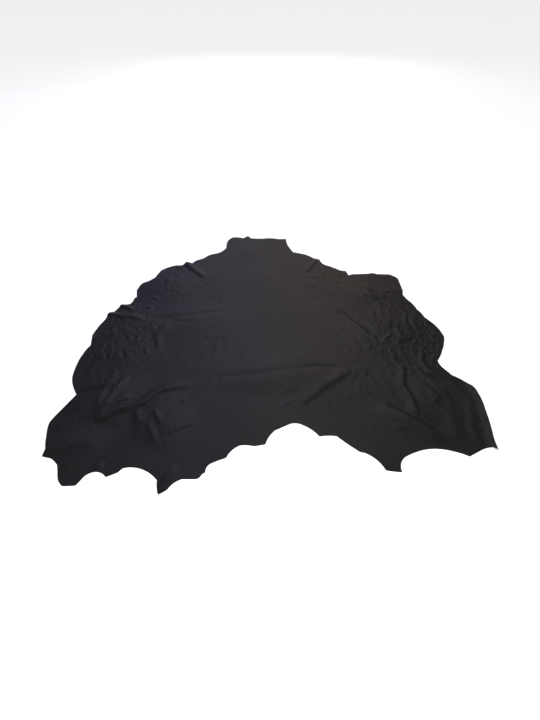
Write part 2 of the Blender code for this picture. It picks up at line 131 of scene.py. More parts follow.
NEAR_SIDE = (
    # right hind leg and foot
    Corner(1.080, -0.950, 0.000), Corner(1.060, -0.928, -0.003), Corner(1.010, -0.941, 0.000),
    Corner(0.937, -0.984, -0.003), Corner(0.870, -0.953, -0.019), Corner(0.690, -0.958, -0.002),
    Corner(0.632, -0.989, -0.008), Corner(0.603, -1.058, 0.000), Corner(0.605, -1.076, 0.002),
    Corner(0.530, -1.065, -0.014), Corner(0.444, -0.960, 0.000), Corner(0.428, -0.958, 0.003),
    Corner(0.326, -0.857, -0.005),
    # arch where the tail was
    Corner(0.241, -0.859, -0.010), Corner(0.145, -0.773, -0.004), Corner(0.100, -0.775, 0.000),
    Corner(0.025, -0.819, -0.007), Corner(-0.021, -0.909, 0.000), Corner(-0.075, -0.921, -0.004),
    Corner(-0.143, -0.916, -0.010), Corner(-0.204, -0.992, -0.002), Corner(-0.277, -1.029, -0.007),
    Corner(-0.294, -1.077, -0.003), Corner(-0.316, -1.103, 0.002),
    # left hind leg, two pointed shanks and the foot
    Corner(-0.335, -1.116, 0.000), Corner(-0.396, -1.115, -0.008), Corner(-0.454, -1.172, 0.002),
    Corner(-0.492, -1.200, 0.003), Corner(-0.509, -1.122, -0.008), Corner(-0.596, -1.056, -0.006),
    Corner(-0.675, -1.053, 0.000), Corner(-0.693, -1.077, 0.001), Corner(-0.744, -1.104, -0.008),
    Corner(-0.798, -1.074, -0.010), Corner(-0.850, -1.120, 0.000), Corner(-0.867, -1.151, 0.001),
    Corner(-0.926, -1.154, 0.005), Corner(-0.961, -1.104, 0.000), Corner(-0.980, -1.038, -0.002),
    Corner(-1.022, -0.996, 0.000),
)
LEFT_SIDE = (
    Corner(-1.068, -0.984, 0.000), Corner(-1.066, -0.938, 0.002), Corner(-1.088, -0.855, 0.003),
    Corner(-1.100, -0.762, 0.002), Corner(-1.050, -0.643, 0.000), Corner(-1.019, -0.563, 0.002),
    # flank
    Corner(-1.065, -0.472, 0.004), Corner(-1.081, -0.380, 0.001), Corner(-1.079, -0.280, 0.002),
    Corner(-1.055, -0.170, 0.000), Corner(-1.044, -0.157, -0.001), Corner(-1.057, -0.057, 0.004),
    Corner(-1.023, 0.082, 0.000), Corner(-1.012, 0.130, 0.001), Corner(-1.006, 0.178, 0.002),
    Corner(-0.983, 0.184, 0.000), Corner(-0.957, 0.243, 0.003), Corner(-0.940, 0.267, 0.001),
    Corner(-0.897, 0.273, -0.004), Corner(-0.881, 0.345, 0.000), Corner(-0.869, 0.361, 0.000),
    Corner(-0.883, 0.435, 0.004),
)

# Broad swells, where the hide stands a little off the floor: an ellipse's middle, its half length and
# half width, how far its length is turned from +X, and its height.
Swell = namedtuple("Swell", "place x y length width turn height")

SWELLS = (
    Swell("left flank", -0.860, -0.060, 0.340, 0.280, 90, 0.011),
    Swell("left side of the back", -0.540, 0.100, 0.430, 0.220, 8, 0.012),
    Swell("left haunch", -0.840, -0.590, 0.270, 0.230, 30, 0.014),
    Swell("left hind leg", -0.930, -0.930, 0.210, 0.170, 30, 0.014),
    Swell("left of the rump", -0.530, -0.750, 0.260, 0.190, 110, 0.013),
    Swell("right side of the back", 0.545, 0.040, 0.360, 0.220, -55, 0.008),
    Swell("loin", 0.040, -0.390, 0.520, 0.210, 5, 0.011),
    Swell("right of the rump", 0.690, -0.760, 0.250, 0.140, -38, 0.014),
    Swell("right haunch", 0.850, -0.540, 0.260, 0.180, 100, 0.012),
    Swell("right flank", 0.780, 0.010, 0.330, 0.210, 95, 0.008),
    Swell("right shoulder", 0.620, 0.420, 0.280, 0.180, -20, 0.007),
    Swell("left shoulder", -0.640, 0.520, 0.260, 0.190, 40, 0.009),
    Swell("withers", -0.060, 0.560, 0.300, 0.200, 95, 0.006),
    Swell("neck", -0.150, 0.980, 0.170, 0.120, 70, 0.006),
)

# Folds. The line follows the steep face, soft is the width of the slope to the left of the line's
# direction, and steep is the width of the face. A positive height is a ridge, a negative one a groove in
# a swell. The fold comes up over the length rise from the line's start and dies away over the length fall
# to its end.
Fold = namedtuple("Fold", "place height soft steep rise fall line")

FOLDS = (
    # left hind leg
    Fold("haunch, long S", 0.0115, 0.050, 0.028, 0.030, 0.240, (
        (-0.819, -0.780), (-0.799, -0.728), (-0.754, -0.696), (-0.697, -0.674), (-0.649, -0.646),
        (-0.616, -0.606), (-0.584, -0.563), (-0.537, -0.533), (-0.448, -0.512), (-0.338, -0.504))),
    Fold("haunch, middle", 0.0068, 0.038, 0.022, 0.050, 0.070, (
        (-0.828, -0.775), (-0.840, -0.722), (-0.830, -0.678), (-0.800, -0.644), (-0.755, -0.612),
        (-0.705, -0.562))),
    Fold("haunch, outer", 0.0088, 0.034, 0.018, 0.060, 0.070, (
        (-0.772, -0.410), (-0.790, -0.440), (-0.812, -0.495), (-0.832, -0.560), (-0.850, -0.625),
        (-0.858, -0.690))),
    Fold("haunch, edge", 0.0055, 0.040, 0.024, 0.060, 0.080, (
        (-0.855, -0.385), (-0.872, -0.440), (-0.893, -0.510), (-0.900, -0.580), (-0.890, -0.650),
        (-0.884, -0.720))),
    Fold("from the side notch", -0.0085, 0.055, 0.028, 0.080, 0.020, (
        (-0.830, -0.480), (-0.874, -0.497), (-0.946, -0.523), (-1.060, -0.565))),
    Fold("shank, across", -0.0110, 0.055, 0.030, 0.140, 0.010, (
        (-0.840, -0.905), (-0.900, -0.918), (-0.960, -0.940), (-1.025, -0.975), (-1.080, -1.000))),
    Fold("shank, upper", 0.0045, 0.040, 0.026, 0.030, 0.040, (
        (-1.060, -0.812), (-1.010, -0.786), (-0.940, -0.745))),
    Fold("foot", 0.0055, 0.035, 0.018, 0.030, 0.020, (
        (-0.785, -1.005), (-0.800, -1.035), (-0.812, -1.065))),
    Fold("pointed shank", 0.0050, 0.035, 0.022, 0.020, 0.060, (
        (-0.478, -1.190), (-0.443, -1.105), (-0.420, -1.030))),
    Fold("rump, outer", 0.0070, 0.048, 0.018, 0.030, 0.040, (
        (-0.700, -0.680), (-0.685, -0.712), (-0.670, -0.760), (-0.636, -0.792))),
    Fold("rump, long", 0.0048, 0.030, 0.016, 0.030, 0.040, (
        (-0.602, -0.680), (-0.590, -0.706), (-0.567, -0.750), (-0.545, -0.800))),
    Fold("rump, second", 0.0052, 0.036, 0.016, 0.030, 0.070, (
        (-0.622, -0.770), (-0.604, -0.810), (-0.584, -0.850), (-0.566, -0.890), (-0.525, -0.935))),
    Fold("rump, forked", 0.0035, 0.026, 0.016, 0.030, 0.030, (
        (-0.625, -0.775), (-0.652, -0.815), (-0.665, -0.865))),
    Fold("rump, upper", -0.0055, 0.030, 0.018, 0.040, 0.040, (
        (-0.440, -0.600), (-0.500, -0.650), (-0.540, -0.698), (-0.562, -0.740))),
    Fold("rump, hooked", -0.0045, 0.030, 0.018, 0.040, 0.030, (
        (-0.375, -0.772), (-0.420, -0.803), (-0.460, -0.832), (-0.492, -0.852), (-0.502, -0.885))),
    # left flank and back
    Fold("flank, long ridge", 0.0110, 0.045, 0.028, 0.010, 0.050, (
        (-1.020, 0.145), (-0.950, 0.130), (-0.885, 0.115), (-0.830, 0.097), (-0.770, 0.068))),
    Fold("flank, long groove", -0.0055, 0.040, 0.020, 0.140, 0.080, (
        (-0.225, 0.228), (-0.380, 0.190), (-0.460, 0.165), (-0.550, 0.153), (-0.620, 0.137),
        (-0.700, 0.130), (-0.800, 0.132))),
    Fold("flank, under the groove", -0.0030, 0.026, 0.016, 0.060, 0.040, (
        (-0.440, 0.080), (-0.560, 0.086), (-0.625, 0.102))),
    Fold("flank, at the edge", 0.0080, 0.030, 0.022, 0.010, 0.050, (
        (-0.985, 0.262), (-0.930, 0.236), (-0.890, 0.213), (-0.848, 0.194))),
    Fold("flank, inner", 0.0050, 0.026, 0.016, 0.030, 0.030, (
        (-0.800, 0.240), (-0.760, 0.226), (-0.735, 0.218))),
    Fold("back, left", 0.0070, 0.040, 0.018, 0.050, 0.070, (
        (-0.620, 0.070), (-0.645, 0.020), (-0.668, -0.020), (-0.680, -0.055), (-0.668, -0.120),
        (-0.656, -0.165), (-0.644, -0.205))),
    Fold("flank, dimple", 0.0055, 0.030, 0.016, 0.040, 0.040, (
        (-0.975, -0.200), (-0.968, -0.240), (-0.962, -0.275), (-0.952, -0.310))),
    Fold("flank, streak", 0.0050, 0.024, 0.014, 0.030, 0.030, (
        (-0.825, -0.190), (-0.820, -0.240), (-0.812, -0.285))),
    # left shoulder
    Fold("shoulder, long", 0.0090, 0.050, 0.028, 0.010, 0.070, (
        (-0.612, 0.805), (-0.588, 0.750), (-0.552, 0.705), (-0.520, 0.658), (-0.478, 0.612),
        (-0.440, 0.560))),
    Fold("shoulder, short", 0.0060, 0.034, 0.016, 0.030, 0.030, (
        (-0.708, 0.580), (-0.694, 0.545), (-0.678, 0.508))),
    # loin and right of the rump
    Fold("loin, hook", -0.0060, 0.060, 0.028, 0.040, 0.100, (
        (0.392, -0.362), (0.362, -0.340), (0.315, -0.325), (0.260, -0.323), (0.200, -0.333),
        (0.120, -0.350))),
    Fold("loin, knuckle", 0.0025, 0.040, 0.022, 0.040, 0.030, (
        (0.378, -0.480), (0.389, -0.430), (0.390, -0.390), (0.382, -0.345))),
    Fold("loin, long", -0.0032, 0.060, 0.022, 0.100, 0.120, (
        (0.170, -0.343), (0.090, -0.357), (0.010, -0.368), (-0.080, -0.386), (-0.200, -0.404),
        (-0.270, -0.412), (-0.300, -0.440), (-0.315, -0.500), (-0.335, -0.570))),
    Fold("loin, wide", 0.0058, 0.070, 0.034, 0.140, 0.050, (
        (0.105, -0.685), (0.160, -0.645), (0.210, -0.605), (0.250, -0.565), (0.300, -0.515),
        (0.345, -0.475), (0.392, -0.440), (0.435, -0.405), (0.464, -0.365))),
    Fold("rump, slanting", 0.0095, 0.085, 0.034, 0.080, 0.160, (
        (0.860, -0.885), (0.838, -0.862), (0.798, -0.817), (0.753, -0.779), (0.715, -0.745),
        (0.685, -0.714), (0.653, -0.689), (0.600, -0.658), (0.545, -0.630))),
    Fold("rump, beyond the slanting", -0.0060, 0.045, 0.034, 0.060, 0.060, (
        (0.590, -0.650), (0.653, -0.689), (0.685, -0.714), (0.715, -0.745), (0.753, -0.779),
        (0.798, -0.817), (0.838, -0.862))),
    # right hind leg
    Fold("haunch, sharp", 0.0095, 0.042, 0.018, 0.030, 0.060, (
        (0.758, -0.720), (0.752, -0.655), (0.744, -0.580), (0.733, -0.536), (0.723, -0.500),
        (0.724, -0.462), (0.734, -0.430), (0.744, -0.387), (0.754, -0.310))),
    Fold("haunch, deep", -0.0085, 0.060, 0.040, 0.060, 0.050, (
        (0.846, -0.410), (0.890, -0.450), (0.914, -0.490), (0.930, -0.540), (0.942, -0.590),
        (0.954, -0.640), (0.965, -0.690))),
    Fold("haunch, beside the deep", 0.0040, 0.036, 0.044, 0.050, 0.060, (
        (0.965, -0.680), (0.955, -0.640), (0.944, -0.590), (0.932, -0.540), (0.916, -0.490),
        (0.892, -0.448), (0.850, -0.410))),
    Fold("haunch, hook", 0.0040, 0.030, 0.022, 0.040, 0.040, (
        (0.836, -0.655), (0.867, -0.622), (0.888, -0.598), (0.882, -0.575), (0.860, -0.552),
        (0.832, -0.535))),
    Fold("haunch, upper", 0.0070, 0.034, 0.020, 0.040, 0.040, (
        (0.960, -0.434), (0.928, -0.410), (0.898, -0.372), (0.875, -0.335), (0.866, -0.295),
        (0.876, -0.250), (0.895, -0.205))),
    Fold("leg, inner", 0.0050, 0.060, 0.060, 0.060, 0.060, (
        (0.935, -0.900), (0.940, -0.780), (0.960, -0.660))),
    Fold("leg, down its side", 0.0030, 0.040, 0.030, 0.060, 0.060, (
        (1.010, -0.900), (1.025, -0.780), (1.045, -0.650), (1.060, -0.560))),
    Fold("leg, raised edge", 0.0120, 0.060, 0.020, 0.040, 0.060, (
        (1.085, -1.010), (1.105, -0.850), (1.120, -0.680), (1.115, -0.540), (1.075, -0.440))),
    # right flank and shoulder
    Fold("flank, slanting", -0.0070, 0.050, 0.022, 0.120, 0.050, (
        (0.420, 0.212), (0.465, 0.165), (0.500, 0.110), (0.530, 0.070), (0.560, 0.030), (0.590, -0.022),
        (0.620, -0.080), (0.650, -0.122))),
    Fold("back, right", 0.0045, 0.050, 0.020, 0.050, 0.120, (
        (0.450, 0.150), (0.438, 0.190), (0.410, 0.232), (0.372, 0.268), (0.320, 0.290), (0.250, 0.300))),
    Fold("shoulder, upper", 0.0050, 0.034, 0.022, 0.050, 0.110, (
        (0.875, 0.298), (0.835, 0.312), (0.785, 0.330), (0.728, 0.356), (0.685, 0.386), (0.655, 0.420),
        (0.610, 0.462))),
    Fold("shoulder, beside the upper", -0.0040, 0.034, 0.022, 0.040, 0.040, (
        (0.640, 0.440), (0.655, 0.420), (0.685, 0.386), (0.728, 0.356), (0.785, 0.330), (0.835, 0.312),
        (0.875, 0.298))),
    Fold("foreleg, first", 0.0040, 0.030, 0.018, 0.060, 0.020, (
        (0.700, 0.425), (0.745, 0.416), (0.800, 0.416), (0.900, 0.425))),
    Fold("foreleg, middle", 0.0045, 0.022, 0.016, 0.030, 0.060, (
        (0.890, 0.345), (0.850, 0.358), (0.810, 0.382), (0.770, 0.400))),
    Fold("shoulder, slanting", 0.0050, 0.034, 0.020, 0.030, 0.080, (
        (0.735, 0.270), (0.695, 0.308), (0.655, 0.340), (0.618, 0.370), (0.580, 0.402))),
    Fold("shoulder, beside the slanting", -0.0040, 0.030, 0.020, 0.040, 0.040, (
        (0.602, 0.382), (0.618, 0.370), (0.655, 0.340), (0.695, 0.308), (0.735, 0.270))),
    Fold("shoulder, far", 0.0050, 0.034, 0.020, 0.040, 0.010, (
        (0.252, 0.640), (0.285, 0.710), (0.335, 0.815))),
)

# Short, sharp creases in the grain that are too fine for the solid.
CREASES = (
    # right flank
    Fold("right flank 1", 0.0030, 0.022, 0.013, 0.030, 0.030, (
        (0.642, 0.105), (0.648, 0.140), (0.660, 0.185))),
    Fold("right flank 2", 0.0035, 0.022, 0.013, 0.030, 0.030, (
        (0.710, 0.005), (0.732, 0.055), (0.758, 0.115))),
    Fold("right flank 3", 0.0040, 0.022, 0.013, 0.030, 0.030, (
        (0.818, -0.125), (0.788, -0.060), (0.765, 0.010))),
    Fold("right flank 4", 0.0045, 0.024, 0.015, 0.030, 0.030, (
        (0.890, 0.035), (0.882, 0.085), (0.876, 0.145))),
    Fold("right flank 5", 0.0030, 0.022, 0.013, 0.025, 0.025, (
        (0.655, 0.010), (0.666, 0.040), (0.680, 0.075))),
    Fold("right flank 6", 0.0045, 0.022, 0.014, 0.030, 0.030, (
        (0.706, -0.300), (0.712, -0.255), (0.722, -0.215))),
    Fold("right flank 7", 0.0035, 0.020, 0.012, 0.025, 0.025, (
        (0.772, -0.290), (0.762, -0.225), (0.748, -0.160))),
    Fold("right flank 8", 0.0035, 0.020, 0.013, 0.025, 0.025, (
        (0.822, -0.260), (0.832, -0.220), (0.846, -0.175))),
    Fold("right flank 9", 0.0035, 0.020, 0.013, 0.025, 0.025, (
        (0.912, -0.240), (0.905, -0.200), (0.890, -0.150))),
    Fold("right of the back", -0.0030, 0.026, 0.014, 0.040, 0.040, (
        (0.490, -0.075), (0.512, -0.130), (0.550, -0.195))),
    # right shoulder and foreleg
    Fold("shoulder, along", 0.0030, 0.034, 0.018, 0.050, 0.060, (
        (0.480, 0.548), (0.400, 0.572), (0.330, 0.622), (0.250, 0.655))),
    Fold("shoulder, short", 0.0030, 0.028, 0.016, 0.030, 0.030, (
        (0.320, 0.486), (0.275, 0.508), (0.230, 0.535))),
    Fold("shoulder, at the notch", 0.0030, 0.026, 0.016, 0.030, 0.030, (
        (0.645, 0.550), (0.620, 0.575), (0.585, 0.605))),
    Fold("shoulder, edge", 0.0025, 0.026, 0.016, 0.030, 0.030, (
        (0.500, 0.618), (0.465, 0.645), (0.430, 0.668))),
    Fold("ribs, dash", 0.0025, 0.022, 0.013, 0.025, 0.025, (
        (0.355, 0.374), (0.395, 0.368), (0.435, 0.366))),
    # loin and rump
    Fold("loin, right end", 0.0045, 0.022, 0.014, 0.025, 0.025, (
        (0.548, -0.402), (0.515, -0.376), (0.486, -0.342))),
    Fold("right of the rump", 0.0025, 0.022, 0.013, 0.030, 0.030, (
        (0.605, -0.806), (0.640, -0.808), (0.675, -0.828))),
    Fold("over the tail", 0.0022, 0.030, 0.016, 0.030, 0.030, (
        (0.075, -0.552), (0.105, -0.535), (0.145, -0.508))),
    Fold("over the tail, lower", 0.0030, 0.028, 0.018, 0.030, 0.030, (
        (0.060, -0.680), (0.095, -0.635), (0.150, -0.600))),
    # left of the back
    Fold("back, across", 0.0025, 0.022, 0.013, 0.040, 0.040, (
        (-0.400, -0.070), (-0.310, -0.074), (-0.220, -0.074))),
    Fold("back, down", 0.0030, 0.022, 0.013, 0.025, 0.025, (
        (-0.306, -0.110), (-0.316, -0.150), (-0.322, -0.195))),
    Fold("back, slanting", 0.0025, 0.022, 0.013, 0.025, 0.025, (
        (-0.395, -0.275), (-0.368, -0.252), (-0.340, -0.228))),
    Fold("spine", -0.0020, 0.030, 0.020, 0.090, 0.120, (
        (-0.032, 0.640), (-0.026, 0.480), (-0.012, 0.250))),
    # left shoulder and flank
    Fold("left flank 1", 0.0045, 0.030, 0.015, 0.030, 0.030, (
        (-0.780, 0.346), (-0.745, 0.330), (-0.710, 0.318))),
    Fold("left flank 2", 0.0035, 0.022, 0.014, 0.025, 0.025, (
        (-0.880, 0.020), (-0.868, -0.012), (-0.855, -0.045))),
    Fold("left flank 3", 0.0045, 0.022, 0.014, 0.025, 0.030, (
        (-0.938, -0.130), (-0.925, -0.170), (-0.908, -0.215))),
    Fold("left flank 4", 0.0035, 0.024, 0.014, 0.025, 0.025, (
        (-0.905, -0.140), (-0.880, -0.134), (-0.850, -0.120))),
    Fold("left flank 5", 0.0040, 0.022, 0.013, 0.025, 0.030, (
        (-0.835, -0.185), (-0.824, -0.225), (-0.812, -0.270))),
    Fold("left flank 6", 0.0035, 0.024, 0.014, 0.025, 0.030, (
        (-0.735, -0.160), (-0.720, -0.205), (-0.700, -0.250))),
    Fold("left flank 7", 0.0035, 0.022, 0.014, 0.025, 0.025, (
        (-0.955, -0.005), (-0.940, -0.045), (-0.925, -0.085))),
)

# Where the grain is crowded into many short creases: the middle of an ellipse, its half length and half
# width, how far its length is turned from +X, the height of the creases, and the angle that they run at
# from +X.
Crowd = namedtuple("Crowd", "place x y length width turn height run")

CROWDS = (
    Crowd("right flank", 0.800, -0.080, 0.380, 0.270, 92, 0.0078, 84),
    Crowd("left flank", -0.890, -0.100, 0.400, 0.250, 88, 0.0084, 80),
    Crowd("right foreleg", 0.740, 0.430, 0.260, 0.220, 0, 0.0030, 140),
    Crowd("left haunch", -0.780, -0.700, 0.330, 0.280, 30, 0.0024, 40),
    Crowd("right haunch", 0.850, -0.640, 0.300, 0.240, 100, 0.0030, 115),
    Crowd("left shoulder", -0.620, 0.520, 0.300, 0.240, 40, 0.0030, 130),
    Crowd("right of the loin", 0.560, -0.420, 0.300, 0.200, 80, 0.0030, 80),
    Crowd("whole hide", 0.000, 0.000, 1.500, 1.400, 0, 0.0014, 60),
)


def smooth_line(line):
    """A smooth curve through a fold's points, as Catmull-Rom pieces."""
    points = np.array(line)
    points = np.vstack((2 * points[0] - points[1], points, 2 * points[-1] - points[-2]))
    t = np.arange(CURVE_STEPS)[:, None] / CURVE_STEPS
    pieces = []
    for a, b, c, d in zip(points, points[1:], points[2:], points[3:]):
        pieces.append(0.5 * (2 * b + (c - a) * t + (2 * a - 5 * b + 4 * c - d) * t**2
                             + (3 * b - a - 3 * c + d) * t**3))
    pieces.append(points[-2:-1])
    return np.concatenate(pieces)


def ease(t):
    """0 below 0, 1 above 1, and a soft S between them."""
    t = np.clip(t, 0.0, 1.0)
    return t * t * (3.0 - 2.0 * t)


def along_and_across(places, curve):
    """For each place, its share of the way along the curve and its distance to the curve's left."""
    starts = curve[:-1]
    steps = curve[1:] - starts
    lengths = np.hypot(steps[:, 0], steps[:, 1])
    travelled = np.concatenate(((0.0,), np.cumsum(lengths)))
    offset = places[:, None, :] - starts[None, :, :]
    share = np.clip((offset * steps).sum(axis=2) / lengths**2, 0.0, 1.0)
    away = offset - share[..., None] * steps
    distance = np.hypot(away[..., 0], away[..., 1])
    nearest = distance.argmin(axis=1)
    row = np.arange(len(places))
    side = steps[nearest, 0] * offset[row, nearest, 1] - steps[nearest, 1] * offset[row, nearest, 0]
    along = (travelled[nearest] + share[row, nearest] * lengths[nearest]) / travelled[-1]
    return along, np.where(side < 0.0, -1.0, 1.0) * distance[row, nearest]


def fold_height(places, fold):
    """Up the steep face, which is centred on the line, and down the soft slope, coming up and dying away
    along the line."""
    curve = smooth_line(fold.line)
    reach = fold.steep + fold.soft
    near = ((places > curve.min(axis=0) - reach) & (places < curve.max(axis=0) + reach)).all(axis=1)
    along, across = along_and_across(places[near], curve)
    face = ease(across / fold.steep + 0.5)
    slope = 1.0 - ease((across - 0.5 * fold.steep) / fold.soft)
    length = np.hypot(*np.diff(curve, axis=0).T).sum()
    ends = ease(along * length / fold.rise) * ease((1.0 - along) * length / fold.fall)
    height = np.zeros(len(places))
    height[near] = fold.height * face * slope * ends
    return height


def ellipse_share(places, form):
    """How far out each place is in the form's ellipse, squared: 0 in its middle and 1 on its rim."""
    turn = math.radians(form.turn)
    x = places[:, 0] - form.x
    y = places[:, 1] - form.y
    out_along = (x * math.cos(turn) + y * math.sin(turn)) / form.length
    out_across = (y * math.cos(turn) - x * math.sin(turn)) / form.width
    return out_along**2 + out_across**2


def swell_height(places, swell):
    """A dome over an ellipse: its height times the square of one minus the squared share of the way out."""
    return swell.height * np.clip(1.0 - ellipse_share(places, swell), 0.0, None) ** 2


def waves(places, longest, shortest, run, spread, count, draw):
    """A sum of count cosine waves with lengths between the two, whose crests run at the angle run, give or
    take spread, each with a drawn phase. It lies mostly between -1 and 1."""
    length = shortest * (longest / shortest) ** draw.random(count)
    angle = np.radians(run + 90.0 + spread * (2.0 * draw.random(count) - 1.0))
    phase = 2.0 * math.pi * draw.random(count)
    turns = 2.0 * math.pi / length
    travel = places[:, :1] * (turns * np.cos(angle)) + places[:, 1:] * (turns * np.sin(angle))
    return np.cos(travel + phase).sum(axis=1) / math.sqrt(count)


def crowd_share(places, crowd, draw):
    """How crowded the creases are: fading out over the crowd's ellipse, and patchy."""
    patches = waves(places, *PATCH_LENGTHS, 0.0, 180.0, PATCH_WAVES, draw)
    patch = 0.5 + 0.5 * np.tanh(PATCH_CONTRAST * patches)
    fading = np.sqrt(np.clip(1.0 - ellipse_share(places, crowd), 0.0, None))
    return fading * (PATCH_FLOOR + (1.0 - PATCH_FLOOR) * patch)


def crowd_height(places, crowd, draw):
    """Rounded bumps with narrow valleys between them: one less a bell over each zero of a sum of waves,
    and to that a share of the same waves with their tops flattened."""
    bend = BEND * np.column_stack([waves(places, *BEND_LENGTHS, 0.0, 180.0, BEND_WAVES, draw)
                                   for _ in range(2)])
    ripple = waves(places + bend, *WRINKLE_LENGTHS, crowd.run, WRINKLE_SPREAD, WRINKLE_WAVES, draw)
    valley = np.exp(-(ripple / VALLEY_WIDTH) ** 2)
    wrinkles = BUMP_SHARE * (1.0 - valley) + ROLL_SHARE * np.tanh(ripple)
    return crowd.height * wrinkles * crowd_share(places, crowd, draw)


def height_at(places):
    """Height of the flesh side over the floor: 0 where the hide lies flat."""
    draw = np.random.default_rng(SEED)
    height = np.zeros(len(places))
    for swell in SWELLS:
        height += swell_height(places, swell)
    for fold in FOLDS + CREASES:
        height += fold_height(places, fold)
    for crowd in CROWDS:
        height += crowd_height(places, crowd, draw)
    return np.clip(height, 0.0, None)


def side_points(corners, last, steps):
    """A side of the outline as steps + 1 points: a run of arcs, each 4 t (1 - t) times its bow to the left
    of its chord, shared out by length so that every corner is a point."""
    rows = list(corners) + [last]
    places = np.array([(row.x, row.y) for row in rows])
    bows = np.array([row.bow for row in corners])
    chords = np.diff(places, axis=0)
    reach = np.hypot(chords[:, 0], chords[:, 1])
    marks = np.concatenate(((0.0,), np.cumsum(reach))) / reach.sum()
    at = np.round(marks * steps).astype(int)
    order = np.arange(len(at))
    at = np.maximum.accumulate(at - order) + order
    at = np.minimum(at, steps - order[::-1])
    number = np.arange(steps + 1)
    row = np.clip(np.searchsorted(at, number, side="right") - 1, 0, len(chords) - 1)
    t = ((number - at[row]) / (at[row + 1] - at[row]))[:, None]
    left = np.column_stack((-chords[:, 1], chords[:, 0])) / reach[:, None]
    return places[row] + chords[row] * t + left[row] * (bows[row, None] * 4.0 * t * (1.0 - t))


def even_spacing(lines):
    """Each line keeps its course, and its points are spread evenly along it."""
    spread = lines.copy()
    for number in range(1, len(lines) - 1):
        line = lines[number]
        way = np.concatenate(((0.0,), np.cumsum(np.hypot(*np.diff(line, axis=0).T))))
        even = np.linspace(0.0, way[-1], len(line))
        spread[number] = np.column_stack([np.interp(even, way, line[:, axis]) for axis in (0, 1)])
    return spread


def smooth_sweep(grid):
    """One sweep of Winslow smoothing: each inner point becomes the average of its neighbours, weighed by
    the squared steps the other way, less twice the skewness times the mixed difference."""
    across = 0.5 * (grid[1:-1, 2:] - grid[1:-1, :-2])
    along = 0.5 * (grid[2:, 1:-1] - grid[:-2, 1:-1])
    along_squared = (along**2).sum(axis=-1)[..., None]
    across_squared = (across**2).sum(axis=-1)[..., None]
    skew = (across * along).sum(axis=-1)[..., None]
    mixed = 0.25 * (grid[2:, 2:] - grid[2:, :-2] - grid[:-2, 2:] + grid[:-2, :-2])
    beside = grid[1:-1, 2:] + grid[1:-1, :-2]
    before_and_after = grid[2:, 1:-1] + grid[:-2, 1:-1]
    total = along_squared * beside + across_squared * before_and_after - 2.0 * skew * mixed
    grid[1:-1, 1:-1] = total / (2.0 * (along_squared + across_squared))


def hide_grid():
    """The plan of the sheet: a grid with its four sides on the outline. It starts as a Coons patch, which
    blends the four sides, and is smoothed and evenly spaced, so that no cell is folded over. The line
    beside each side then moves away from the middle of its two neighbours, which brings it closer to the
    outline's own course."""
    far = side_points(FAR_SIDE, RIGHT_SIDE[0], STEPS_ACROSS)
    right = side_points(RIGHT_SIDE, NEAR_SIDE[0], STEPS_ALONG)[::-1]
    near = side_points(NEAR_SIDE, LEFT_SIDE[0], STEPS_ACROSS)[::-1]
    left = side_points(LEFT_SIDE, FAR_SIDE[0], STEPS_ALONG)
    s = np.linspace(0.0, 1.0, STEPS_ACROSS + 1)[None, :, None]
    t = np.linspace(0.0, 1.0, STEPS_ALONG + 1)[:, None, None]
    corners = (near[0] * (1 - s) * (1 - t) + near[-1] * s * (1 - t)
               + far[0] * (1 - s) * t + far[-1] * s * t)
    grid = near[None] * (1 - t) + far[None] * t + left[:, None] * (1 - s) + right[:, None] * s - corners
    for _ in range(RELAX_ROUNDS):
        for _ in range(SWEEPS):
            smooth_sweep(grid)
        grid = even_spacing(grid.swapaxes(0, 1)).swapaxes(0, 1)
        grid = even_spacing(grid)
    for _ in range(LAST_SWEEPS):
        smooth_sweep(grid)
    for edge, first, second in ((0, 1, 2), (-1, -2, -3)):
        middle = 0.5 * (grid[edge, 1:-1] + grid[second, 1:-1])
        grid[first, 1:-1] += FIRST_LINE_REACH * (grid[first, 1:-1] - middle)
        middle = 0.5 * (grid[1:-1, edge] + grid[1:-1, second])
        grid[1:-1, first] += FIRST_LINE_REACH * (grid[1:-1, first] - middle)
    return grid


def upright(points, triangles):
    """The upward unit normal at each point: the sum of the cross products of the triangles round it."""
    a, b, c = (points[triangles[:, corner]] for corner in range(3))
    faces = np.cross(b - a, c - a)
    total = np.column_stack([np.bincount(triangles.ravel(), np.repeat(faces[:, axis], 3), len(points))
                             for axis in range(3)])
    return total / np.linalg.norm(total, axis=1, keepdims=True)


def twice_area(a, b, c):
    """Twice the area of the plan triangles a, b, c, positive where they run anticlockwise."""
    one = b - a
    other = c - a
    return one[..., 0] * other[..., 1] - one[..., 1] * other[..., 0]


def cell_triangles(plan):
    """Two triangles for each cell, cut along the diagonal that leaves the smaller of the two larger."""
    rows, columns = plan.shape[:2]
    number = np.arange(rows * columns).reshape(rows, columns)
    a, b, c, d = number[:-1, :-1], number[:-1, 1:], number[1:, 1:], number[1:, :-1]
    pa, pb, pc, pd = plan[:-1, :-1], plan[:-1, 1:], plan[1:, 1:], plan[1:, :-1]
    rising = np.minimum(twice_area(pa, pb, pc), twice_area(pa, pc, pd))
    falling = np.minimum(twice_area(pa, pb, pd), twice_area(pb, pc, pd))
    choose = (falling > rising)[..., None]
    first = np.where(choose, np.stack((a, b, d), axis=-1), np.stack((a, b, c), axis=-1))
    second = np.where(choose, np.stack((b, c, d), axis=-1), np.stack((a, c, d), axis=-1))
    return np.concatenate((first.reshape(-1, 3), second.reshape(-1, 3)))


